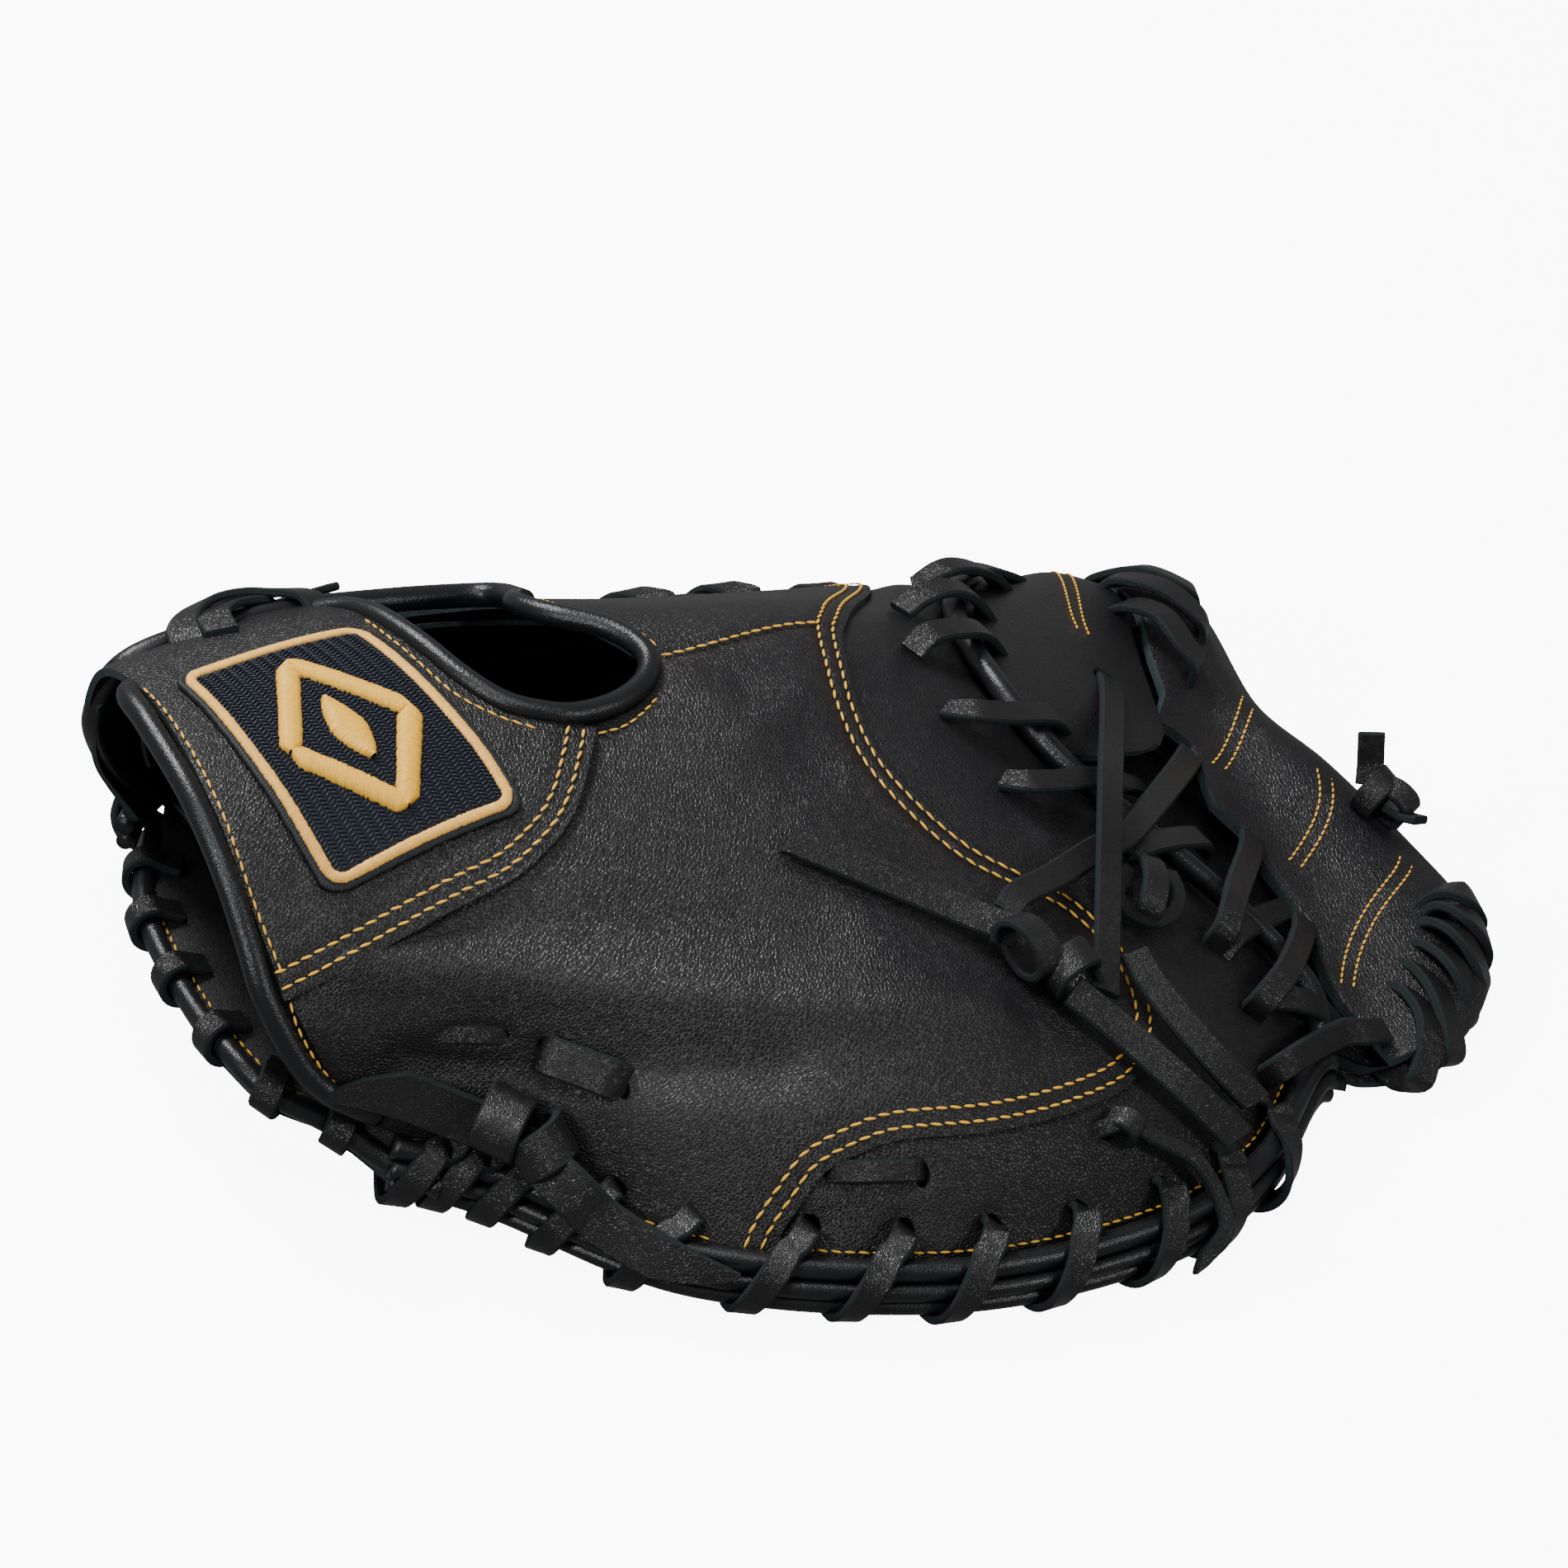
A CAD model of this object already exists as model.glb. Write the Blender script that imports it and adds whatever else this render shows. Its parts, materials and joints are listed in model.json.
"""A black catcher's mitt, palm down on its laced rim."""

import json
import math

import bpy
import numpy as np
from mathutils import Matrix, Vector, kdtree
from mathutils.geometry import delaunay_2d_cdt

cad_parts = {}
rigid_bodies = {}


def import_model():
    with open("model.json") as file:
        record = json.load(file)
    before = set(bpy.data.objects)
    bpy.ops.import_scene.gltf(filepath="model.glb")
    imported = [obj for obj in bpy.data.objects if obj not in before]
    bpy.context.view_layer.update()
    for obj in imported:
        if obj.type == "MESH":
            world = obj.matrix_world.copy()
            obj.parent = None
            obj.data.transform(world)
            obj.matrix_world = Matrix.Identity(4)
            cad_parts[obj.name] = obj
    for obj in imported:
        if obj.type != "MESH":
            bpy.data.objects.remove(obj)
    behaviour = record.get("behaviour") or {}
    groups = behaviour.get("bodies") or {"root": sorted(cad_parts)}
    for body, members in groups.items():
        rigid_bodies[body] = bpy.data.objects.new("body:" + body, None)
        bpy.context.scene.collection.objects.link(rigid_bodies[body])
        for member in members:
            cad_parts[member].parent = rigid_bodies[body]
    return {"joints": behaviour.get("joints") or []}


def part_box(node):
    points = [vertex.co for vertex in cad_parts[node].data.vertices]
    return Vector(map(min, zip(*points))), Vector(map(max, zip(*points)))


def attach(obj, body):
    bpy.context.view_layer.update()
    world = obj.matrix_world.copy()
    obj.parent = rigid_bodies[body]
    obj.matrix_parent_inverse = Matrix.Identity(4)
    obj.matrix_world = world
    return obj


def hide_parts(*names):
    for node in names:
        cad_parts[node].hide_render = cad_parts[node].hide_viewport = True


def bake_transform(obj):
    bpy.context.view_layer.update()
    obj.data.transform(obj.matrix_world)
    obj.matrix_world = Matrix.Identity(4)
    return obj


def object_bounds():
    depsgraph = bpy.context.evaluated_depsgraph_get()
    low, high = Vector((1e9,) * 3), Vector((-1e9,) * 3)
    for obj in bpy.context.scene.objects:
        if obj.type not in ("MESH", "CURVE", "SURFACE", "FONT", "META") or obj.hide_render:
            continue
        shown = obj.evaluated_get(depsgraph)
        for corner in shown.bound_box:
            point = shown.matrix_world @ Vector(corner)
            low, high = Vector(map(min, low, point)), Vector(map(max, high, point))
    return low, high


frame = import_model()
cad_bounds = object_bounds()
rng = np.random.default_rng(7)

# ---- sizes, in millimetres ----
LEATHER = 1.9            # shell leather, as it shows at a cut edge
LACE_WIDTH = 6.6
LACE_THICK = 2.0
STITCH_PITCH = 3.35
STITCH_LENGTH = 2.75
STITCH_RADIUS = 0.36
ROW_GAP = 3.6            # between the rows of a double seam
LAST_U, LAST_V = 6, 8    # the last station of the tips, and the last guide
GRAIN = 1150.0           # grain cells per metre

# The outside of the mitt: nine guides from the thumb rim to the finger rim, each with seven
# stations from the wrist to the tips and three more across the web to the crown's outer side.
GUIDES = np.array([
    [(22, -52, 20), (46, -66, 15), (77, -103, 12), (129, -128, 12), (180, -130, 12), (215, -117, 12),
     (247, -91, 12), (263, -95, 8), (277, -96, 8), (276, -96, 3)],
    [(12, -47, 32), (46, -61, 34), (84, -90, 36), (131, -112, 36), (172, -116, 32), (210, -108, 28),
     (247, -86, 20), (266, -79, 12), (299, -78, 11), (298, -79, 4)],
    [(4, -40, 48), (48, -51, 53), (89, -68, 56), (132, -86, 54), (165, -92, 48), (200, -88, 42),
     (238, -76, 32), (266, -58, 17), (307, -55, 14), (307, -55, 4)],
    [(0, -25, 64), (42, -31, 69), (78, -42, 70), (127, -55, 66), (158, -60, 60), (190, -60, 54),
     (224, -60, 44), (267, -40, 21), (306, -36, 17), (307, -36, 6)],
    [(-1, -2, 80), (42, -2, 84), (84, -10, 83), (120, -20, 80), (150, -25, 75), (182, -28, 68),
     (208, -27, 58), (267, -15, 27), (299, -8, 24), (301, -8, 10)],
    [(1, 30, 85), (45, 32, 88), (92, 28, 87), (130, 20, 85), (163, 16, 81), (190, 14, 74),
     (205, 4, 66), (268, 6, 32), (294, 17, 26), (297, 17, 11)],
    [(2, 56, 76), (50, 62, 77), (98, 58, 74), (135, 52, 70), (170, 50, 65), (200, 48, 61),
     (220, 48, 57), (272, 26, 37), (298, 47, 30), (301, 47, 12)],
    [(8, 67, 45), (50, 84, 48), (95, 90, 46), (140, 86, 42), (180, 84, 38), (215, 80, 36),
     (245, 76, 32), (282, 55, 36), (296, 60, 28), (299, 61, 10)],
    [(23, 68, 20), (48, 92, 15), (82, 108, 12), (132, 117, 12), (182, 116, 12), (222, 106, 12),
     (258, 90, 12), (280, 82, 14), (290, 72, 20), (292, 73, 8)],
], float)

# The CAD's knot tells where these millimetres sit in the row frame.
knot_low, knot_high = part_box("web_knot")
SHIFT = np.array((knot_low + knot_high) / 2) * 1000 - np.array((201, -61, 64.5))


# ---- curves and surfaces ----
def spline(points, t):
    """A smooth line through points, at t from 0 to the last point's number."""
    points = np.asarray(points, float)
    t = np.asarray(t, float)
    last = len(points) - 1
    i = np.clip(np.floor(t).astype(int), 0, last - 1)
    f = (t - i)[..., None]
    ends = np.concatenate([[2 * points[0] - points[1]], points, [2 * points[-1] - points[-2]]])
    p0, p1, p2, p3 = ends[i], ends[i + 1], ends[i + 2], ends[i + 3]
    curve = (2 * p0 - 5 * p1 + 4 * p2 - p3) * f**2 + (3 * p1 - p0 - 3 * p2 + p3) * f**3
    return 0.5 * (2 * p1 + (p2 - p0) * f + curve)


def loft(guides, u, v):
    """The surface through the guides."""
    u, v = np.broadcast_arrays(np.asarray(u, float), np.asarray(v, float))
    lines = np.stack([spline(g, u.ravel()) for g in guides])
    last = len(guides) - 1
    w = v.ravel()
    i = np.clip(np.floor(w).astype(int), 0, last - 1)
    f = (w - i)[:, None]
    ends = np.concatenate([[2 * lines[0] - lines[1]], lines, [2 * lines[-1] - lines[-2]]])
    k = np.arange(w.size)
    p0, p1, p2, p3 = ends[i, k], ends[i + 1, k], ends[i + 2, k], ends[i + 3, k]
    curve = (2 * p0 - 5 * p1 + 4 * p2 - p3) * f**2 + (3 * p1 - p0 - 3 * p2 + p3) * f**3
    out = 0.5 * (2 * p1 + (p2 - p0) * f + curve)
    return out.reshape(u.shape + (3,))


def unit(a):
    return a / np.maximum(np.linalg.norm(a, axis=-1, keepdims=True), 1e-9)


def normals_of(surface, u, v):
    """Unit normals of a surface, away from the mitt."""
    e = 0.03
    du = surface(u + e, v) - surface(u - e, v)
    dv = surface(u, v + e) - surface(u, v - e)
    return unit(np.cross(du, dv))


def back(u, v):
    return loft(GUIDES, u, v)


def on_back(u, v, lift=0.0):
    """Points a lift in mm outside the mitt's surface."""
    u, v = np.asarray(u, float), np.asarray(v, float)
    return back(u, v) + normals_of(back, u, v) * np.asarray(lift)[..., None]


def rim_side(u, v):
    """The level direction away from the mitt at the thumb rim (v = 0) or the finger rim (v = 8)."""
    along = unit((back(u + 0.05, v) - back(u - 0.05, v)) * (1, 1, 0))
    turn = np.where(np.asarray(v) < LAST_V / 2, 1.0, -1.0)
    return np.stack([turn * along[..., 1], -turn * along[..., 0], 0 * along[..., 0]], -1)


# the roll along the heel, in mm
HEEL = [(33, -64, 10.5), (26, -54, 12), (15, -43, 18.5), (3, -36, 25), (-1, -24, 28), (-1, -6, 28),
        (2, 16, 28), (6, 31, 28), (14, 46, 27), (23, 59, 24), (34, 72, 16)]
FLOOR_GAP = 3.0          # from the floor to the palm's leather
POCKET_RISE = 34.0       # how far the pocket rises over that


def palm(u, v):
    """The palm meets the back at the rim, rises to the pocket and ends at the heel's roll."""
    u, v = np.broadcast_arrays(np.asarray(u, float), np.asarray(v, float))
    top = back(u, v)
    across = np.maximum(0, np.sin(np.pi * v / LAST_V)) ** 1.5
    along = np.sin(np.pi * (0.02 + 0.68 * u / LAST_U))
    low = np.stack([top[..., 0], top[..., 1], FLOOR_GAP + POCKET_RISE * along * across], -1)
    wrist = back(0 * u, v)
    share = np.clip(v / LAST_V, 0, 1) * (len(HEEL) - 2) + 1
    heel = spline(HEEL, share.ravel()).reshape(low.shape) - (0, 0, 2.4)
    start = np.stack([wrist[..., 0], wrist[..., 1], FLOOR_GAP + 2.1 * across], -1)
    return low + (heel - start) * (np.clip(1 - u / 1.3, 0, 1) ** 2)[..., None]


def arc_along(line):
    """The distance along a line at each of its points."""
    return np.concatenate([[0], np.cumsum(np.linalg.norm(np.diff(line, axis=0), axis=1))])


def resample(points, step):
    """The same line with its points an equal step apart."""
    points = np.asarray(points, float)
    arc = arc_along(points)
    count = max(2, int(round(arc[-1] / step)) + 1)
    at = np.linspace(0, arc[-1], count)
    return np.stack([np.interp(at, arc, points[:, k]) for k in range(points.shape[1])], -1)


def smooth_line(controls, step=1.0, per=24):
    """A smooth line through controls, its points an equal step apart."""
    controls = np.asarray(controls, float)
    t = np.linspace(0, len(controls) - 1, (len(controls) - 1) * per + 1)
    return resample(spline(controls, t), step)


def uv_line(controls, lift=0.0, step=1.0):
    """A smooth line on the back through (u, v) controls: its uv, its points and its normals."""
    uv = spline(controls, np.linspace(0, len(controls) - 1, (len(controls) - 1) * 24 + 1))
    p = on_back(uv[:, 0], uv[:, 1], lift)
    both = resample(np.concatenate([p, uv], 1), step)
    uv = both[:, 3:]
    return uv, on_back(uv[:, 0], uv[:, 1], lift), normals_of(back, uv[:, 0], uv[:, 1])


# ---- materials ----
def new_material(name, color, roughness, specular=0.5):
    m = bpy.data.materials.new(name)
    m.use_nodes = True
    m.diffuse_color = (*color, 1)
    shader = m.node_tree.nodes["Principled BSDF"]
    shader.inputs["Base Color"].default_value = (*color, 1)
    shader.inputs["Roughness"].default_value = roughness
    shader.inputs["Specular IOR Level"].default_value = specular
    return m, m.node_tree, shader


def add_node(tree, kind, **settings):
    node = tree.nodes.new(kind)
    for key, value in settings.items():
        if key in node.inputs:
            node.inputs[key].default_value = value
        else:
            setattr(node, key, value)
    return node


def object_noise(tree, scale, detail, roughness=0.5):
    """Noise that stays with its piece."""
    coords = add_node(tree, "ShaderNodeTexCoord")
    noise = add_node(tree, "ShaderNodeTexNoise", Scale=scale, Detail=detail, Roughness=roughness)
    tree.links.new(coords.outputs["Object"], noise.inputs["Vector"])
    return noise.outputs["Fac"]


def tinted(tree, shader, factor, dark, light):
    """The colour runs from dark to light with the factor."""
    mix = add_node(tree, "ShaderNodeMix", data_type="RGBA")
    mix.inputs[6].default_value = (*dark, 1)
    mix.inputs[7].default_value = (*light, 1)
    tree.links.new(factor, mix.inputs[0])
    tree.links.new(mix.outputs[2], shader.inputs["Base Color"])


def bumped(tree, height, strength, distance):
    """Relief of a height, its distance in metres."""
    bump = add_node(tree, "ShaderNodeBump", Strength=strength, Distance=distance)
    tree.links.new(height, bump.inputs["Height"])
    return bump


def map_range(tree, value, **ends):
    node = add_node(tree, "ShaderNodeMapRange")
    for key, end in ends.items():
        node.inputs[key.replace("_", " ")].default_value = end
    tree.links.new(value, node.inputs["Value"])
    return node.outputs["Result"]


def leather_material(name, color, warm, roughness, grain=0.6, grain_scale=GRAIN, crease=0.3):
    """Pebbled leather: small cells between fine creases, broad soft mottling."""
    m, tree, shader = new_material(name, color, roughness, 0.42)
    link = tree.links.new
    coords = add_node(tree, "ShaderNodeTexCoord")
    cells = add_node(tree, "ShaderNodeTexVoronoi", feature="DISTANCE_TO_EDGE", Scale=grain_scale)
    cells.inputs["Randomness"].default_value = 1.0
    link(coords.outputs["Object"], cells.inputs["Vector"])
    pebbles = add_node(tree, "ShaderNodeMath", operation="MULTIPLY_ADD")
    link(object_noise(tree, grain_scale * 2.2, 4.0, 0.6), pebbles.inputs[0])
    pebbles.inputs[1].default_value = 0.55
    link(map_range(tree, cells.outputs["Distance"], From_Min=0.0, From_Max=0.22), pebbles.inputs[2])
    small = bumped(tree, pebbles.outputs[0], grain, 0.0002)
    large = bumped(tree, object_noise(tree, 160.0, 3.0), crease, 0.0012)
    link(small.outputs["Normal"], large.inputs["Normal"])
    link(large.outputs["Normal"], shader.inputs["Normal"])
    broad = object_noise(tree, 38.0, 5.0, 0.55)
    tinted(tree, shader, broad, color, warm)
    link(map_range(tree, broad, To_Min=roughness - 0.06, To_Max=roughness + 0.08), shader.inputs["Roughness"])
    return m


def fibre_material(name, color, roughness=0.95, scale=1500.0, strength=0.8):
    """Suede at a cut edge, or felt."""
    m, tree, shader = new_material(name, color, roughness, 0.15)
    noise = object_noise(tree, scale, 5.0, 0.7)
    tree.links.new(bumped(tree, noise, strength, 0.0004).outputs["Normal"], shader.inputs["Normal"])
    tinted(tree, shader, noise, [0.6 * c for c in color], [1.5 * c for c in color])
    return m


def thread_material(name, color, roughness=0.45):
    m, tree, shader = new_material(name, color, roughness, 0.3)
    noise = object_noise(tree, 900.0, 2.0)
    tinted(tree, shader, noise, [0.7 * c for c in color], [min(1, 1.25 * c) for c in color])
    return m


SHELL = leather_material("shell leather", (0.003, 0.003, 0.0045), (0.010, 0.0085, 0.0095), 0.39)
SMOOTH = leather_material("binding leather", (0.005, 0.006, 0.008), (0.009, 0.009, 0.010), 0.3,
                          0.2, 1500.0, 0.06)
LACE = leather_material("rawhide lace", (0.004, 0.004, 0.005), (0.013, 0.0115, 0.0115), 0.3,
                        0.45, 1700.0, 0.25)
LINING = leather_material("lining leather", (0.006, 0.006, 0.007), (0.012, 0.011, 0.011), 0.6)
SUEDE = fibre_material("cut edge", (0.03, 0.042, 0.044))
LACE_EDGE = fibre_material("lace edge", (0.014, 0.018, 0.019))
FELT = fibre_material("pad felt", (0.45, 0.40, 0.30), 0.95, 900.0, 1.0)
GOLD = thread_material("gold thread", (0.92, 0.45, 0.04))
PALE_GOLD = thread_material("border thread", (0.92, 0.46, 0.095))
DARK_THREAD = thread_material("black thread", (0.012, 0.014, 0.016), 0.6)
PATCH_THREAD = thread_material("patch thread", (0.008, 0.011, 0.020), 0.45)
CUT_LACE = [LACE, LACE_EDGE]


# ---- meshes ----
def listed(rows):
    """The rows of an array as a list of tuples."""
    return [tuple(row) for row in rows]


def mesh_object(name, points, faces, materials, face_material=None, smooth=True):
    """An object from points in millimetres. Faces is an array of quads or triangles, or a list."""
    mesh = bpy.data.meshes.new(name)
    faces = [tuple(int(i) for i in f) for f in faces]
    mesh.from_pydata(listed((np.asarray(points) + SHIFT) / 1000), [], faces)
    for m in materials:
        mesh.materials.append(m)
    if face_material is not None:
        mesh.polygons.foreach_set("material_index", np.asarray(face_material, np.int32))
    mesh.polygons.foreach_set("use_smooth", np.full(len(mesh.polygons), smooth))
    mesh.update()
    obj = bpy.data.objects.new(name, mesh)
    bpy.context.scene.collection.objects.link(obj)
    return obj


def grid_faces(rows, columns, start=0, flip=False):
    """The quads of a grid of points."""
    i, j = np.meshgrid(np.arange(rows - 1), np.arange(columns - 1), indexing="ij")
    a = (start + i * columns + j).ravel()
    quad = np.stack([a, a + columns, a + columns + 1, a + 1], -1)
    return quad[:, ::-1] if flip else quad


U_MM, V_MM = 40.0, 27.0     # about how long one step of u and of v is


def seam_tree(lines):
    """A tree that finds how far a point is from the lines."""
    points = np.concatenate(lines)
    tree = kdtree.KDTree(len(points))
    for k, p in enumerate(points):
        tree.insert(p, k)
    tree.balance()
    return tree


def inside(points, outline):
    """Which 2-D points lie inside a closed outline."""
    result = np.zeros(len(points), bool)
    for p, q in zip(outline, np.roll(outline, -1, axis=0)):
        crosses = (p[1] > points[:, 1]) != (q[1] > points[:, 1])
        rise = q[1] - p[1] if q[1] != p[1] else 1e-9
        result ^= crosses & (points[:, 0] < p[0] + (points[:, 1] - p[1]) * (q[0] - p[0]) / rise)
    return result


def closed_line(outline, step):
    """Points an equal step apart round a closed outline, without the last."""
    return resample(np.concatenate([outline, outline[:1]]), step)[:-1]


def within(points, rings):
    """Which points lie inside the first ring and outside the others."""
    keep = inside(points, rings[0])
    for ring in rings[1:]:
        keep &= ~inside(points, ring)
    return keep


def staggered_grid(low, high, spacing):
    """The points of a grid of near-equal triangles that fills a box."""
    rows = []
    for k, y in enumerate(np.arange(low[1], high[1], spacing * 0.87)):
        x = np.arange(low[0] + (k % 2) * spacing / 2, high[0], spacing)
        rows.append(np.stack([x, np.full(len(x), y)], -1))
    return np.concatenate(rows)


def leather_patch(name, outline_uv, lift, thickness=LEATHER, holes=(), spacing=1.5, seams=(),
                  shape=None, materials=None, edge_drop=0.45, surface=None):
    """A sheet of leather on the outside, within an outline of (u, v) points. Its cut edge shows suede."""
    surface = surface or back
    scale = np.array((U_MM, V_MM))
    rings = [closed_line(np.asarray(line, float) * scale, 1.0) for line in (outline_uv, *holes)]
    edge = kdtree.KDTree(sum(len(r) for r in rings))
    points, lines = [], []
    for ring in rings:
        start = len(points)
        for k, q in enumerate(ring):
            edge.insert((*q, 0), start + k)
            points.append(tuple(q))
            lines.append((start + k, start + (k + 1) % len(ring)))
    edge.balance()
    grid = staggered_grid(rings[0].min(0), rings[0].max(0), spacing)
    grid = grid[within(grid, rings)]
    far = np.array([edge.find((*q, 0))[2] for q in grid])
    grid = grid[far > 0.6 * spacing]
    points += [tuple(q) for q in grid]
    cut = delaunay_2d_cdt([Vector(q) for q in points], lines, [], 0, 1e-5)
    flat = np.array([tuple(q) for q in cut[0]])
    triangles = np.array([tuple(t) for t in cut[2]])
    triangles = triangles[within(flat[triangles].mean(1), rings)]
    a, b, c = (flat[triangles[:, k]] for k in range(3))
    turned = (b - a)[:, 0] * (c - a)[:, 1] - (b - a)[:, 1] * (c - a)[:, 0] < 0
    triangles[turned] = triangles[turned][:, ::-1]
    edge_distance = np.array([edge.find((*q, 0))[2] for q in flat])
    u, v = flat[:, 0] / scale[0], flat[:, 1] / scale[1]
    base = surface(u, v)
    normal = normals_of(surface, u, v)
    height = lift - edge_drop * np.exp(-edge_distance / 0.9)
    if len(seams):
        tree = seam_tree(seams)
        height -= 0.5 * np.exp(-((np.array([tree.find(q)[2] for q in base]) / 1.4) ** 2))
    if shape is not None:
        height = height + shape(u, v)
    top = base + normal * height[:, None]
    n = len(top)
    seen = {}
    for t in triangles:
        for i in range(3):
            seen[(t[i], t[(i + 1) % 3])] = True
    walls = np.array([(j, i, i + n, j + n) for i, j in seen if (j, i) not in seen])
    faces = listed(triangles) + listed(triangles[:, ::-1] + n) + listed(walls)
    index = np.concatenate([np.zeros(2 * len(triangles), int), np.ones(len(walls), int)])
    both = np.concatenate([top, top - normal * thickness])
    obj = mesh_object(name, both, faces, materials or [SHELL, SUEDE], index)
    sharpen(obj)
    return obj


def sharpen(obj, angle=50):
    """Edges sharper than the angle stay sharp in a smooth-shaded piece."""
    bpy.context.view_layer.objects.active = obj
    obj.select_set(True)
    bpy.ops.object.shade_smooth_by_angle(angle=math.radians(angle))
    obj.select_set(False)
    for modifier in list(obj.modifiers):
        bpy.ops.object.modifier_apply(modifier=modifier.name)


def frames_along(points, normals):
    """Tangent, side and out directions along a line, out kept near the given normals."""
    along = unit(np.gradient(points, axis=0))
    side = unit(np.cross(along, normals))
    return along, side, np.cross(side, along)


def swept(points, side, out, section, closed_ends=True):
    """Points and faces of a section of (side, out) offsets carried along a line."""
    n, m = len(points), len(section)
    rings = points[:, None] + side[:, None] * section[None, :, :1] + out[:, None] * section[None, :, 1:]
    i, j = np.meshgrid(np.arange(n - 1), np.arange(m), indexing="ij")
    a = (i * m + j).ravel()
    b = (i * m + (j + 1) % m).ravel()
    faces = [tuple(q) for q in np.stack([a, b, b + m, a + m], -1)]
    if closed_ends:
        faces.append(tuple(range(m - 1, -1, -1)))
        faces.append(tuple((n - 1) * m + k for k in range(m)))
    return rings.reshape(-1, 3), faces


def tube(name, line, radius, material, sides=16, flatten=1.0, normals=None):
    """A round cord or rolled binding along a line."""
    line = np.asarray(line, float)
    normals = np.tile((0.0, 0.0, 1.0), (len(line), 1)) if normals is None else normals
    along, side, out = frames_along(line, normals)
    angle = np.linspace(0, 2 * np.pi, sides, endpoint=False)
    section = np.stack([np.cos(angle), np.sin(angle) * flatten], -1) * radius
    points, faces = swept(line, side, out, section)
    return mesh_object(name, points, faces, [material])


def lace_section(width, thick):
    """A flat lace's section with slightly rounded corners."""
    w, t, r = width / 2, thick / 2, min(0.5, thick / 4)
    half = [(-w + r, -t), (w - r, -t), (w, -t + r), (w, t - r)]
    return np.array(half + [(-x, -y) for x, y in half])


LACE_EDGE_SIDES = (1, 2, 3, 5, 6, 7)     # the sides of that section that are its cut edges


def lace_mesh(line, normals, width=LACE_WIDTH, thick=LACE_THICK, taper=0.0):
    """Points, faces and material numbers of a flat lace. Taper narrows its far end to a point."""
    line = np.asarray(line, float)
    side, out = frames_along(line, np.asarray(normals, float))[1:]
    section = lace_section(width, thick)
    m = len(section)
    points, faces = swept(line, side, out, section)
    if taper:
        arc = arc_along(line)
        left = arc[-1] - arc
        share = np.clip(left / taper, 0.06, 1) ** 0.6
        rings = points.reshape(-1, m, 3)
        for k in range(len(line)):
            if share[k] < 1:
                # a slanted cut: one edge stays, the other comes in
                shift = side[k] * (section[:, :1] * (share[k] - 1) - width / 2 * (1 - share[k]))
                rings[k] += shift
        points = rings.reshape(-1, 3)
    sides = np.zeros(len(faces), int)
    strip = np.tile(np.isin(np.arange(m), LACE_EDGE_SIDES).astype(int), len(line) - 1)
    sides[: len(strip)] = strip
    sides[len(strip):] = 1
    return points, faces, sides


def join_meshes(name, parts, materials):
    """One object from several parts' points, faces and material numbers."""
    points, faces, index, start = [], [], [], 0
    for p, f, s in parts:
        points.append(p)
        faces.extend(tuple(int(i) + start for i in q) for q in f)
        index.extend(s)
        start += len(p)
    obj = mesh_object(name, np.concatenate(points), faces, materials, index)
    sharpen(obj, 42)
    return obj


def lace(name, line, normals, width=LACE_WIDTH, thick=LACE_THICK, taper=0.0):
    return join_meshes(name, [lace_mesh(line, normals, width, thick, taper)], CUT_LACE)


def free_lace(controls, facing, width=LACE_WIDTH):
    """A lace through control points, its face towards one direction."""
    controls = np.asarray(controls, float)
    facing = np.tile(np.asarray(facing, float), (len(controls), 1))
    both = smooth_line(np.concatenate([controls, facing], 1), 1.2)
    return lace_mesh(both[:, :3], unit(both[:, 3:]), width)


# ---- stitches ----
def capsule(length, radius, rings=3, sides=6):
    """A short thread with rounded ends, along X."""
    points, half = [], length / 2 - radius
    for s in np.linspace(-1, 1, 2 * rings + 1):
        x = half * np.sign(s) + radius * s if abs(s) > 0 else 0.0
        r = radius * math.sqrt(max(0.0, 1 - s * s * 0.96))
        angle = np.linspace(0, 2 * np.pi, sides, endpoint=False)
        points.append(np.stack([np.full(sides, x), r * np.cos(angle), r * np.sin(angle)], -1))
    n = len(points)
    faces = []
    for i in range(n - 1):
        for j in range(sides):
            k = (j + 1) % sides
            faces.append((i * sides + j, i * sides + k, (i + 1) * sides + k, (i + 1) * sides + j))
    return np.concatenate(points), np.array(faces)


def threads(name, centres, along, out, length, radius, material, flatten=0.8, sides=6):
    """One short thread at each centre, lying along its own direction."""
    base, faces = capsule(1.0, 0.5, 3, sides)
    side = unit(np.cross(out, along))
    along = unit(along)
    out = np.cross(along, side)
    n = len(base)
    size = base * (length, 2 * radius, 2 * radius * flatten)
    points = centres[:, None] + sum(way[:, None] * size[None, :, k, None]
                                    for k, way in enumerate((along, side, out)))
    all_faces = (faces[None] + (np.arange(len(centres)) * n)[:, None, None]).reshape(-1, 4)
    return mesh_object(name, points.reshape(-1, 3), all_faces, [material])


def stitch_row(line, normals, offset=0.0, lift=0.12, pitch=STITCH_PITCH, slant=0.16):
    """Centres, directions and normals of the stitches along a line."""
    along, side, out = frames_along(line, normals)
    path = line + side * offset
    arc = arc_along(path)
    at = np.arange(pitch * 0.5, arc[-1], pitch)

    def pick(a):
        return np.stack([np.interp(at, arc, a[:, k]) for k in range(3)], -1)

    c, t, s, o = pick(path), pick(along), pick(side), pick(out)
    jitter = rng.normal(0, 0.05, (len(at), 1))
    return c + o * lift, unit(t + s * (slant + jitter)), unit(o)


def sew(name, rows, length=STITCH_LENGTH, radius=STITCH_RADIUS):
    """One piece from all the stitches of some rows."""
    centres, along, out = (np.concatenate([row[k] for row in rows]) for k in range(3))
    return settle(threads(name, centres, along, out, length, radius, GOLD), "gold_thread")


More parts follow.
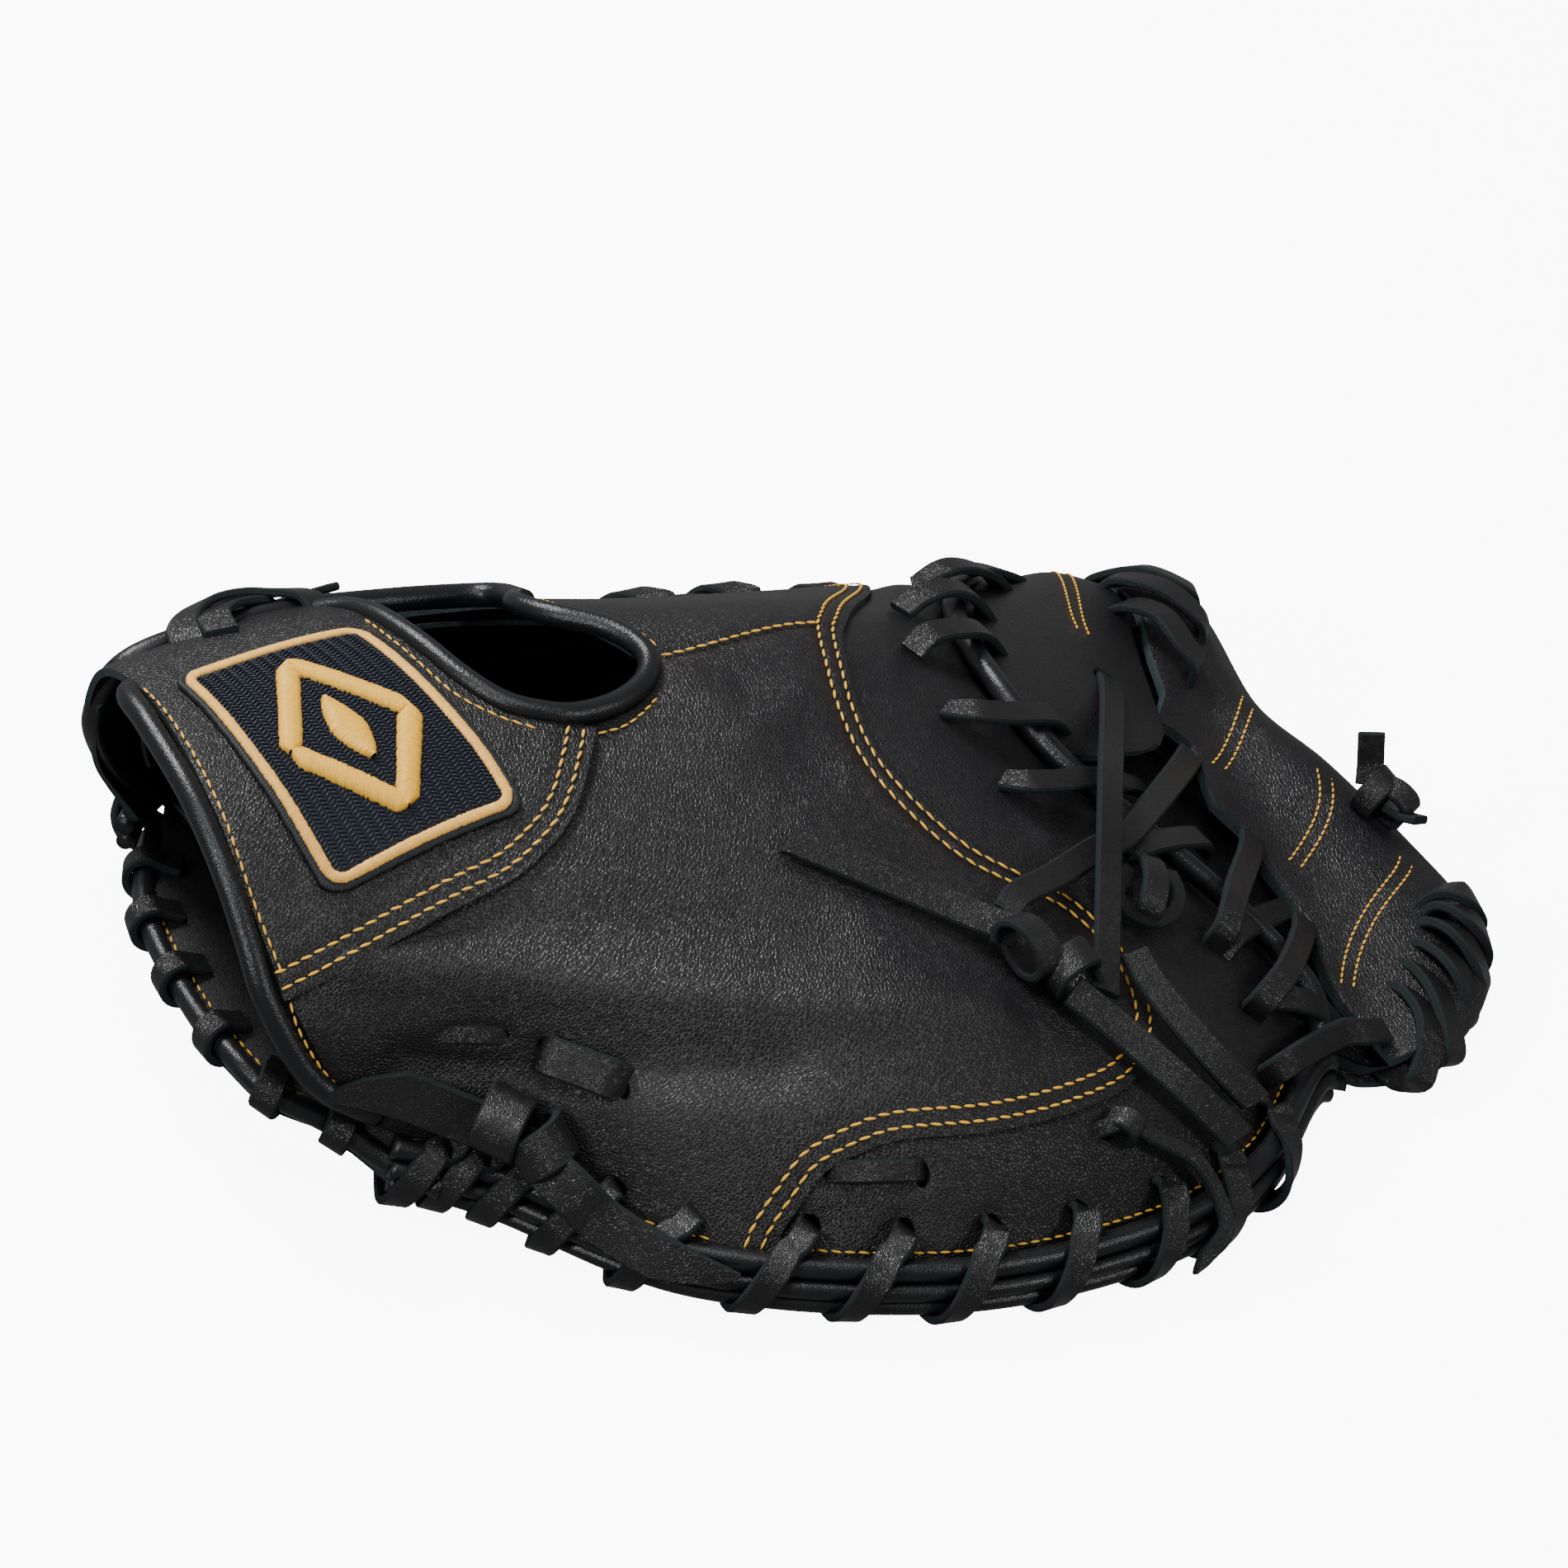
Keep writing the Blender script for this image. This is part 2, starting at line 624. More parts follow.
# ---- what each piece rides on ----
joint = frame["joints"][0]
AXIS_Y = joint["pos_m"][1]
BEND_START, BEND_END = (0, AXIS_Y - 0.018, 0), (0, AXIS_Y + 0.030, 0)
ROOT, FINGER = joint["parent"], joint["child"]


def settle(obj, slot=None, *nodes):
    """Each piece takes part in the fold as far as it reaches over it."""
    y = np.array([(obj.matrix_world @ v.co).y for v in obj.data.vertices])
    if y.max() <= BEND_START[1] + 0.001:
        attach(obj, ROOT)
    elif y.min() >= BEND_END[1] - 0.001:
        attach(obj, FINGER)
    else:
        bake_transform(obj)
    if nodes:
        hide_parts(*nodes)
    return obj


def laces(name, parts, *nodes):
    """One piece from several runs of lace."""
    settle(join_meshes(name, parts, CUT_LACE), "rawhide_lace", *nodes)


# ---- lines on the outside, as (u, v) ----
# the first row of the seam that joins the back to the tips, from the finger side to the thumb rim
TIP_SEAM = [(4.72, 8.0), (4.8, 7.1), (4.9, 6.16), (4.27, 5.26), (4.07, 4.93), (4.06, 4.53), (4.11, 4.14),
            (4.16, 3.78), (4.26, 3.42), (4.39, 3.19), (4.64, 2.97), (4.86, 2.75), (4.9, 2.4), (4.8, 2.0),
            (4.62, 1.7), (4.32, 1.47), (3.92, 1.34), (3.31, 1.21), (2.84, 1.15), (2.61, 1.04), (2.39, 0.81),
            (2.28, 0.5), (2.21, 0.23), (2.18, 0.03)]
CENTRE_SEAM = [(2.72, 4.65), (3.09, 4.75), (3.43, 4.85), (3.78, 4.94), (4.08, 4.98)]
# the far row of the strap's seam, from the wrist edge to the hand hole
STRAP_SEAM = [(-0.02, 2.35), (0.22, 2.48), (0.72, 2.73), (1.06, 2.89), (1.45, 3.07), (1.75, 3.32),
              (1.91, 3.55), (2.03, 3.84), (2.14, 4.12)]
WELT = [(6.2, 6.7), (6.15, 6.13), (6.04, 5.59), (6.02, 5.21), (6.03, 4.8), (6.07, 4.37), (6.11, 4.0),
        (6.2, 3.5), (6.27, 3.1), (6.3, 2.3), (6.28, 1.36), (6.1, 0.5), (5.97, 0.02)]
RIM_LACE_AT = (0.74, 1.02, 1.3, 1.6, 1.96, 2.42, 2.79, 3.19, 3.64, 4.18, 4.72, 5.3)


def offset_uv(line, distance, step=1.0):
    """The (u, v) line that runs a distance in mm to the left of a line, seen from outside."""
    uv, p, n = uv_line(line, 0.0, step)
    side = frames_along(p, n)[1]
    e = 0.02
    du = (back(uv[:, 0] + e, uv[:, 1]) - back(uv[:, 0] - e, uv[:, 1])) / (2 * e)
    dv = (back(uv[:, 0], uv[:, 1] + e) - back(uv[:, 0], uv[:, 1] - e)) / (2 * e)
    move = -side * distance
    a, b, c = (du * du).sum(1), (du * dv).sum(1), (dv * dv).sum(1)
    x, y = (du * move).sum(1), (dv * move).sum(1)
    det = a * c - b * b
    return uv + np.stack([(c * x - b * y) / det, (a * y - b * x) / det], -1)


def rows_along(line, offsets, lift):
    """Stitch rows at distances in mm to the left of a (u, v) line, and the seams they sink."""
    rows, paths = [], []
    for d in offsets:
        u, v = offset_uv(line, d).T
        rows.append(stitch_row(on_back(u, v, lift), normals_of(back, u, v)))
        paths.append(on_back(u, v))
    return rows, paths


def slit(u, v, length=5.5, width=2.2, angle=0.0):
    """A small rounded slit in the (u, v) plane, sizes in mm. Angle 0 lies along u."""
    t = np.linspace(0, 2 * np.pi, 14, endpoint=False)
    x = np.cos(t) * length / 2
    y = np.sin(t) * width / 2
    c, s = math.cos(angle), math.sin(angle)
    return np.stack([u + (c * x - s * y) / U_MM, v + (s * x + c * y) / V_MM], -1)


def uvl_line(controls, step=1.0):
    """A smooth line through (u, v, lift) controls, with the outside's normals."""
    controls = np.asarray(controls, float)
    p = on_back(controls[:, 0], controls[:, 1], controls[:, 2])
    n = normals_of(back, controls[:, 0], controls[:, 1])
    both = smooth_line(np.concatenate([p, n * 0.001], 1), step)
    return both[:, :3], unit(both[:, 3:])


def facing_along(line, normals):
    """A lace faces out where it lies on the leather, and turns with its run where it dives into a hole."""
    along = unit(np.gradient(line, axis=0))
    flatness = np.linalg.norm(np.cross(along, normals), axis=1)
    facing = np.zeros_like(line)
    start = int(flatness.argmax())
    facing[start] = normals[start]
    for step in (1, -1):
        k = start
        while 0 <= k + step < len(line):
            k += step
            pull = 0.25 * np.clip((flatness[k] - 0.6) / 0.3, 0, 1)
            way = facing[k - step] * (1 - pull) + normals[k] * pull
            facing[k] = unit(way - along[k] * (way @ along[k]))
    return facing


def uvl_part(controls, width=LACE_WIDTH):
    """A lace through (u, v, lift) controls."""
    line, normals = uvl_line(controls)
    return lace_mesh(line, facing_along(line, normals), width)


def xyz_part(controls, width, thick, normal=(0.5, -0.2, 0.85), taper=0.0):
    """A lace through points in mm."""
    line = smooth_line(controls, 1.0)
    normals = np.tile(unit(np.array(normal)), (len(line), 1))
    return lace_mesh(line, facing_along(line, normals), width, thick, taper)


# ---- back panels ----
STRAP_LIFT = LEATHER + 0.15
# the leather stands up over the thumb's bones and sinks beside them: line, height, width, all in mm
FOLDS = (([(0.4, 2.5), (1.4, 2.0), (2.2, 1.9), (3.0, 1.92), (3.6, 1.87)], 2.3, 7.0),
         ([(0.5, 1.3), (0.95, 1.18), (1.75, 1.33), (2.3, 1.4)], -1.8, 6.0),
         ([(0.7, 2.75), (1.3, 2.62), (2.1, 2.6), (2.8, 2.6)], -1.2, 8.0),
         ([(2.2, 3.9), (2.9, 3.7), (3.6, 3.9)], -1.0, 9.0),
         ([(2.9, 4.5), (3.3, 4.2), (3.8, 4.4)], 1.0, 8.0))


def folds(u, v):
    """How far the back stands out or sinks at (u, v)."""
    base = back(u, v)
    height = np.zeros(len(base))
    for line, rise, width in FOLDS:
        tree = seam_tree([uv_line(line, 0.0, 2.0)[1]])
        far = np.array([tree.find(q)[2] for q in base])
        height += rise * np.exp(-((far / width) ** 2))
    return height


TIP_EDGE_GAP = 2.75       # from a seam's second row to the cut edge
SEAM_EDGE = offset_uv(TIP_SEAM, ROW_GAP + TIP_EDGE_GAP, 2.0)
STRAP_EDGE = offset_uv(STRAP_SEAM, -TIP_EDGE_GAP, 2.0)


def thumb_panel_outline(thumb_edge, centre):
    """Along the thumb rim, the tip seam's cut edge, the centre seam and the hand hole, under the strap."""
    under = offset_uv(STRAP_SEAM, 9.0, 3.0)
    under = under[(under[:, 0] < 1.85) & (under[:, 0] > 0.02)]
    hole_near = [(2.64, 4.46), (2.4, 4.28), (2.11, 4.18), (1.9, 4.2)]
    rim = [(0.02, 0.3), (0.2, 0.02)] + [(u, 0.0) for u in np.arange(0.4, 2.2, 0.2)]
    seams = listed(thumb_edge[::-1]) + listed(centre[::-1])
    return rim + seams + hole_near + listed(under[::-1]) + [(0.02, 2.6)]


def finger_panel_outline(finger_edge, centre):
    """Along the centre seam, the tip seam's cut edge, the finger rim and the hand hole."""
    rim = [(u, 8.0) for u in np.arange(4.6, 0.2, -0.3)] + [(0.04, 7.9), (0.02, 7.2), (0.02, 6.4)]
    hole = [(0.9, 6.1), (1.2, 6.1), (1.42, 6.35), (1.75, 6.5), (2.1, 6.42), (2.32, 6.0), (2.25, 5.5),
            (2.4, 5.1)]
    return listed(centre) + listed(finger_edge[::-1]) + rim + hole


def tip_panel_outline():
    """Along the thumb rim, the crotch, the finger rim and under the tip seam."""
    crotch = uv_line(WELT)[0][::-1][::3] - (0.03, 0)
    under = offset_uv(TIP_SEAM, -3.0, 2.0)
    under = under[(under[:, 1] < 7.9) & (under[:, 1] > 0.1)]
    rim = [(u, 0.0) for u in np.arange(2.3, 5.95, 0.2)]
    return rim + listed(crotch) + [(6.25, 7.2), (6.3, 8.0), (5.6, 8.0), (4.95, 8.0)] + listed(under)


def strap_outline():
    """Along the wrist edge, the strap seam's cut edge and the hand hole."""
    hole = [(1.92, 4.25), (1.74, 4.32), (1.58, 4.52), (1.46, 4.88), (1.38, 5.3), (1.3, 5.7), (1.2, 6.1),
            (1.0, 6.5)]
    return [(0.0, v) for v in np.arange(6.45, 2.3, -0.3)] + listed(STRAP_EDGE) + hole


def build_back():
    tip_rows, tip_paths = rows_along(TIP_SEAM, (0.0, ROW_GAP), 0.0)
    centre_rows, centre_paths = rows_along(CENTRE_SEAM, (0.9,), 0.0)
    strap_rows, strap_paths = rows_along(STRAP_SEAM, (0.0, ROW_GAP), STRAP_LIFT)
    split = int(np.argmin(np.abs(SEAM_EDGE[:, 1] - CENTRE_SEAM[-1][1])))
    centre = uv_line(CENTRE_SEAM)[0]
    rim_slits = [slit(u, 0.24, 4.0, 5.0) for u in RIM_LACE_AT]
    slits = [s for s in rim_slits if s[:, 0].max() < 2.0]
    slits += [slit(0.86, 1.55, 15, 5.5, -0.08), slit(1.22, 1.36, 3, 8, 0.2), slit(1.58, 1.18, 3, 8, 0.2)]
    thumb = leather_patch("thumb_back_panel", thumb_panel_outline(SEAM_EDGE[split:], centre), 0.0,
                          holes=slits, seams=tip_paths + centre_paths, shape=folds)
    finger = leather_patch("finger_back_panel", finger_panel_outline(SEAM_EDGE[:split + 1], centre), 0.0,
                           seams=tip_paths + centre_paths)
    tip_slits = [s for s in rim_slits if s[:, 0].min() > 2.25]
    tip_slits += [slit(2.5, 0.7, 3, 6), slit(2.88, 0.66, 3, 6), slit(3.98, 0.86, 4, 4)]
    tip_slits += [slit(5.8, 2.28, 3, 8, 0.4), slit(5.6, 1.45, 3, 8, 0.4), slit(5.38, 0.62, 3, 8, 0.3)]
    tip = leather_patch("tip_panel", tip_panel_outline(), -LEATHER, holes=tip_slits, seams=tip_paths)
    strap = leather_patch("wrist_strap", strap_outline(), STRAP_LIFT, seams=strap_paths)
    settle(thumb, "shell_leather", "thumb_back_panel")
    settle(finger, "shell_leather", "finger_back_panel")
    settle(tip, "shell_leather", "thumb_tip_panel", "finger_tip_panel")
    settle(strap, "shell_leather", "wrist_strap")
    sew("seam_stitches", tip_rows + centre_rows + strap_rows)


build_back()


# ---- rolled bindings ----
def roll(name, line, radius, *nodes, normals=None):
    settle(tube(name, line, radius, SMOOTH, 18, normals=normals), "binding_leather", *nodes)


def rim_line(v, out, drop):
    """A line beside the thumb rim (v = 0) or the finger rim (v = 8)."""
    u = np.linspace(0.12 if v < 4 else 0.3, 6.25, 240)
    edge = back(u, np.full_like(u, v)) + rim_side(u, np.full_like(u, v)) * out
    edge[:, 2] -= drop
    return resample(edge, 1.5)


RIM_ROLLS = ((2.4, 0.6, 2.7), (4.2, 5.3, 2.3), (3.6, 9.6, 2.1))      # out, drop, radius
# the other rolls' middle lines: u, v and the height over the back in mm
EDGE_ROLLS = (
    ("wrist_roll", "wrist_binding", 2.9,
     [(0.14, 0.42, -1.5), (0.04, 0.66, 0), (-0.06, 0.95, 0), (-0.1, 1.44, 0), (-0.1, 2.3, 0.5),
      (-0.08, 2.9, 1), (-0.07, 3.5, 1), (-0.08, 4.16, 1), (-0.09, 4.86, 0.5), (-0.06, 5.25, 0),
      (0.04, 5.45, -2), (0.16, 5.5, -5)]),
    ("finger_side_roll", "finger_wrist_binding", 2.9,
     [(2.2, 5.6, 0.3), (2.2, 6.0, 0.8), (2.02, 6.14, 1), (1.6, 6.08, 1), (1.1, 6.02, 1), (0.5, 6.05, 2),
      (0.16, 6.18, 1.5), (0.05, 6.6, 0), (0.12, 7.1, -0.5), (0.22, 7.55, -1), (0.4, 7.9, -1)]),
    ("hand_hole_roll", "hand_hole_binding", 2.7,
     [(2.2, 5.75, 0.2), (2.12, 5.45, 0.6), (2.25, 5.14, 1), (2.53, 4.92, 1.2), (2.69, 4.69, 1.2),
      (2.63, 4.48, 1.2), (2.4, 4.3, 1.4), (2.11, 4.2, 1.8), (1.9, 4.22, 2), (1.72, 4.31, 2),
      (1.57, 4.53, 2), (1.45, 4.9, 2), (1.36, 5.3, 2), (1.28, 5.62, 1.5), (1.16, 5.85, 0.5)]),
    ("crotch_roll", "crotch_welting", 2.7, [(u, v, 1.0) for u, v in WELT]),
)


def build_bindings():
    for v, prefix in ((0.0, "thumb_rim"), (8.0, "finger_rim")):
        names = (f"{prefix}_upper_roll", f"{prefix}_middle_roll", f"{prefix}_lower_roll")
        nodes = ((f"{prefix}_binding_upper",), (f"{prefix}_binding_lower",), ())
        for name, (out, drop, radius), stands in zip(names, RIM_ROLLS, nodes):
            roll(name, rim_line(v, out, drop), radius, *stands)
    roll("heel_roll", smooth_line(HEEL, 1.2), 2.7, "heel_binding", "heel_binding_far")
    for name, node, radius, controls in EDGE_ROLLS:
        line, normals = uvl_line(controls)
        roll(name, line, radius, node, normals=normals)


# stitches beside the rolls, as (u, v), and how high they lie over the back
EDGE_ROWS = (
    ([(0.05, 0.87), (-0.0, 1.3), (-0.01, 1.9), (0.02, 2.3)], 0.0),
    ([(0.02, 2.5), (0.02, 3.3), (0.03, 4.2), (0.02, 4.7), (0.0, 5.26)], STRAP_LIFT),
    ([(1.28, 5.3), (1.36, 4.84), (1.48, 4.42), (1.66, 4.2), (1.86, 4.08)], STRAP_LIFT),
    ([(2.14, 4.06), (2.44, 4.17), (2.73, 4.42), (2.8, 4.58)], 0.0),
    ([(2.8, 4.78), (2.66, 5.02), (2.46, 5.22), (2.36, 5.5), (2.36, 5.9)], 0.0),
    ([(0.14, 6.55), (0.1, 6.9), (0.1, 7.3), (0.12, 7.7)], 0.0),
)
FINE_PITCH, FINE_STITCH, FINE_RADIUS = 3.0, 2.4, 0.32
RIM_PITCH = 3.1


def fine_row(line, normals, pitch=FINE_PITCH):
    return stitch_row(line, normals, pitch=pitch, slant=0.1)


def build_edge_stitches():
    rows = []
    for controls, lift in EDGE_ROWS:
        rows.append(fine_row(*uv_line(controls, lift)[1:]))
    for v in (0.06, 7.94):
        for u0, u1, lift in ((0.3, 2.15, 0.0), (2.4, 5.85, -LEATHER)):
            controls = [(u, v) for u in np.arange(u0, u1, 0.25)]
            rows.append(fine_row(*uv_line(controls, lift)[1:], RIM_PITCH))
    u, v = offset_uv(WELT, 4.6).T
    rows.append(fine_row(on_back(u, v, -LEATHER), normals_of(back, u, v)))
    sew("edge_stitches", rows, FINE_STITCH, FINE_RADIUS)


# ---- laces along the rims ----
# a pass of the rim lace from the edge of the back on: out, up, and how far it has gone along the rim, in mm
RIM_PASS = ((3.0, 3.6, 5), (6.4, 0.4, 7.5), (7.9, -5.0, 10.5), (7.0, -9.8, 13), (3.2, -12.6, 14.5),
            (-3.5, -11.8, 15.5), (-8.0, -8.5, 16))


def rim_wrap(u, v):
    """One pass of the rim lace: out of its slit, over the three rolls and under them."""
    turn = 1 if v < 4 else -1
    edge = back(u, v)
    out = rim_side(np.array(u), np.array(float(v)))
    along = unit((back(u + 0.05, v) - back(u - 0.05, v)) * (1, 1, 0))
    up = np.array((0, 0, 1.0))
    floor = -edge[2] - 0.3
    points = [on_back(u, v + turn * 0.24, -3.5), on_back(u, v + turn * 0.22, 1.2) - along * 0.5,
              on_back(u, v + turn * 0.12, 3.2) - along * 2.5]
    for away, rise, gone in RIM_PASS:
        points.append(edge + out * away + up * max(rise, floor) - along * gone)
    line = smooth_line(np.array(points), 1.0)
    centre = edge + out * 1.0 - up * 5
    facing = line - centre - along * ((line - centre) @ along)[:, None]
    facing[: len(facing) // 8] = normals_of(back, np.array([u]), np.array([float(v + turn * 0.2)]))[0]
    tangent = unit(np.gradient(line, axis=0))
    facing = unit(facing - tangent * (facing * tangent).sum(1)[:, None] * 0.9)
    return lace_mesh(line, facing)


HEEL_WRAP_AT = (0.168, 0.275, 0.39, 0.525, 0.655, 0.775)     # shares of the heel roll's length
HEEL_WRAP_RADIUS = 4.1
HEEL_WRAP_LEAN = 2.2 / 3.0     # how far a turn moves along the roll, in mm per radian


def heel_wraps():
    """The turns of lace round the heel roll."""
    line = smooth_line(HEEL, 1.0)
    tangent = unit(np.gradient(line, axis=0))
    parts = []
    for share in HEEL_WRAP_AT:
        k = int(share * (len(line) - 1))
        t, p = tangent[k], line[k]
        out = unit(np.cross(t, (0, 0, 1.0)))
        out = out if out[0] < 0 or abs(out[0]) < 0.2 else -out
        up = unit(np.cross(out, t))
        up = up if up[2] > 0 else -up
        ring = [p + (out * math.cos(a) + up * math.sin(a)) * HEEL_WRAP_RADIUS + t * HEEL_WRAP_LEAN * a
                for a in np.radians(np.linspace(-150, 130, 15))]
        start = ring[0] - out * 4 + up * 0.5
        end = ring[-1] - out * 5 - up * 1.5
        run = smooth_line(np.array([start, *ring, end]), 1.0, 8)
        facing = run - p - t * ((run - p) @ t)[:, None]
        parts.append(lace_mesh(run, unit(facing)))
    return parts


def build_rim_laces():
    laces("thumb_rim_wraps", [rim_wrap(u, 0.0) for u in RIM_LACE_AT], "thumb_rim_lace")
    laces("finger_rim_wraps", [rim_wrap(u, 8.0) for u in RIM_LACE_AT[1:]], "finger_rim_lace")
    laces("heel_wraps", heel_wraps(), "heel_lace")


# ---- palm, pads and linings ----
def thick_grid(name, top, down, material, slot):
    """A sheet from a grid of points and the same grid moved."""
    rows, columns = top.shape[:2]
    flat = top.reshape(-1, 3)
    faces = np.concatenate([grid_faces(rows, columns), grid_faces(rows, columns, rows * columns, True)])
    settle(mesh_object(name, np.concatenate([flat, flat + down]), faces, [material]), slot)


def grid_outline(u0, u1, v0, v1, step=0.25):
    """A box in (u, v), with points along its sides."""
    u, v = np.arange(u0, u1, step), np.arange(v0, v1, step)
    there = [(a, v0) for a in u] + [(u1, b) for b in v]
    return there + [(a, v1) for a in (u0 + u1 - u)] + [(u0, b) for b in (v0 + v1 - v)]


def inner_sheet(name, box, lift, thickness, spacing, surface, materials, slot, node):
    sheet = leather_patch(name, grid_outline(*box), lift, thickness, spacing=spacing, surface=surface,
                          materials=materials)
    return settle(sheet, slot, node)


def build_inside():
    shell = leather_patch("palm_shell", grid_outline(0.02, 6.6, -0.08, 8.08), 0.0, 2.2, spacing=2.5,
                          surface=palm)
    settle(shell, "shell_leather", "palm_thumb_half", "palm_finger_half")
    for side, v0, v1 in (("thumb", 1.3, 4.85), ("finger", 5.05, 6.8)):
        pad = inner_sheet(f"pad_{side}_side", (0.6, 4.6, v0, v1), 6.4, 6.2, 3.0, palm, [FELT, FELT],
                          "pad_felt", f"palm_pad_{side}")
    for side, v0, v1 in (("thumb", 0.7, 4.96), ("finger", 4.94, 7.3)):
        inner_sheet(f"lining_{side}_side", (0.6, 4.9, v0, v1), 8.4, 1.4, 2.5, palm, [LINING, SUEDE],
                    "lining_leather", f"palm_lining_{side}")
    for side, box in (("thumb", (0.06, 4.4, 0.6, 3.6)), ("finger", (0.3, 4.4, 6.4, 7.4))):
        inner_sheet(f"{side}_stall_skin", box, -4.0, 1.2, 3.0, back, [LINING, SUEDE],
                    "lining_leather", f"{side}_stall_lining")


HEEL_ROWS = 12
HEEL_STITCH_ROW = 10      # the one the stitches follow


def build_heel_lining():
    """The palm's lining comes up to the heel roll."""
    v = np.linspace(0.5, 7.97, 120)
    start = palm(np.full_like(v, 0.55), v) + (0, 0, 8.6)
    heel = smooth_line(HEEL, 1.0)
    heel = heel[np.linspace(0, len(heel) - 1, len(v)).astype(int)] + (1.5, 0, 0)
    top = np.array([start + (heel - start) * s + np.array((0, 0, 1.6)) * math.sin(math.pi * s)
                    for s in np.linspace(0, 1, HEEL_ROWS)])
    thick_grid("heel_lining", top, (0, 0, -1.4), LINING, "lining_leather")
    line = resample(top[HEEL_STITCH_ROW], 1.0)
    normals = np.tile(unit(np.array((0.2, 0, 1.0))), (len(line), 1))
    row = stitch_row(line, normals, lift=0.3, pitch=RIM_PITCH)
    sew("heel_stitches", [row], FINE_STITCH, FINE_RADIUS)


# ---- patch ----
PATCH = np.array([(0.15, 5.17), (1.21, 5.14), (1.66, 3.48), (0.4, 3.06)])    # its corners on the strap
PATCH_WIDE, PATCH_TALL = 47.0, 60.0
PATCH_TOP = STRAP_LIFT + 1.55
FILL_FROM, FILL_LIFT = 4.2, 0.22     # from the patch's edge, and over its cloth


def patch_uv(a, b):
    """Where a point of the patch, in mm from its lower corner at the strap's edge, lies on the back."""
    s, t = np.asarray(a)[..., None] / PATCH_WIDE, np.asarray(b)[..., None] / PATCH_TALL
    return (PATCH[0] * (1 - s) + PATCH[1] * s) * (1 - t) + (PATCH[3] * (1 - s) + PATCH[2] * s) * t


def on_patch(a, b, lift=0.0):
    uv = patch_uv(a, b)
    return on_back(uv[..., 0], uv[..., 1], PATCH_TOP + np.asarray(lift))


def rounded_box(inset, radius, step=0.4):
    """A line round the patch, an inset in from its edge."""
    points = []
    near = inset + radius
    wide, tall = PATCH_WIDE - near, PATCH_TALL - near
    for x, y, start in ((wide, tall, 0), (near, tall, 90), (near, near, 180), (wide, near, 270)):
        for a in np.radians(np.linspace(start, start + 90, 9)):
            points.append((x + radius * math.cos(a), y + radius * math.sin(a)))
    return closed_line(np.array(points), step)


def satin(name, flat_line, width, height, pitch, material, lift=0.0, slant=0.0, closed=False, ends=1.2):
    """A band of close thread laid across a line on the patch, ridged at every thread."""
    line = np.asarray(flat_line, float)
    if closed:
        line = np.concatenate([line, line[:1]])
    line = resample(line, pitch / 4)
    along = unit(np.gradient(line, axis=0))
    if closed:
        along[0] = along[-1] = unit(along[0] + along[-1])
    across = np.stack([-along[:, 1], along[:, 0]], -1)
    arc = np.arange(len(line)) * pitch / 4
    x = np.sin(np.radians(np.linspace(-90, 90, 11)))
    ridge = 0.16 * np.abs(np.sin(np.pi * arc / pitch))
    w = np.full(len(line), width / 2)
    if not closed:
        w *= np.clip(np.minimum(arc, arc[-1] - arc) / ends, 0.05, 1) ** 0.5
    jag = rng.normal(0, 0.06, len(line) // 4 + 1).repeat(4)[: len(line)]
    sideways = across[:, None] * (x[None] * (w + jag)[:, None])[..., None]
    forward = along[:, None] * (slant * x[None, :, None] * w[:, None, None])
    flat = line[:, None] + sideways + forward
    h = height * np.sqrt(np.maximum(0, 1 - x**2))[None] + ridge[:, None] * 0.8
    h[:, 0] = h[:, -1] = -0.6
    points = on_patch(flat[..., 0], flat[..., 1], h + lift)
    return mesh_object(name, points.reshape(-1, 3), grid_faces(*points.shape[:2]), [material])


def build_patch_fill():
    """Rows of short threads, leaning one way and then the other."""
    centres, ways = [], []
    for i, a in enumerate(np.arange(FILL_FROM, PATCH_WIDE - 4.0, 1.55)):
        for b in np.arange(FILL_FROM + 0.4 * (i % 2), PATCH_TALL - 4.0, 0.95):
            centres.append((a, b))
            ways.append((0.92, 0.55 if i % 2 else -0.3))
    (a, b), (da, db) = np.array(centres).T, np.array(ways).T
    place = on_patch(a, b, FILL_LIFT)
    ahead = on_patch(a + da * 0.5, b + db * 0.5, FILL_LIFT)
    out = normals_of(back, *patch_uv(a, b).T)
    fill = threads("patch_fill", place, unit(ahead - place), out, 1.9, 0.36, PATCH_THREAD, 0.7, 5)
    settle(fill, "patch_cloth")


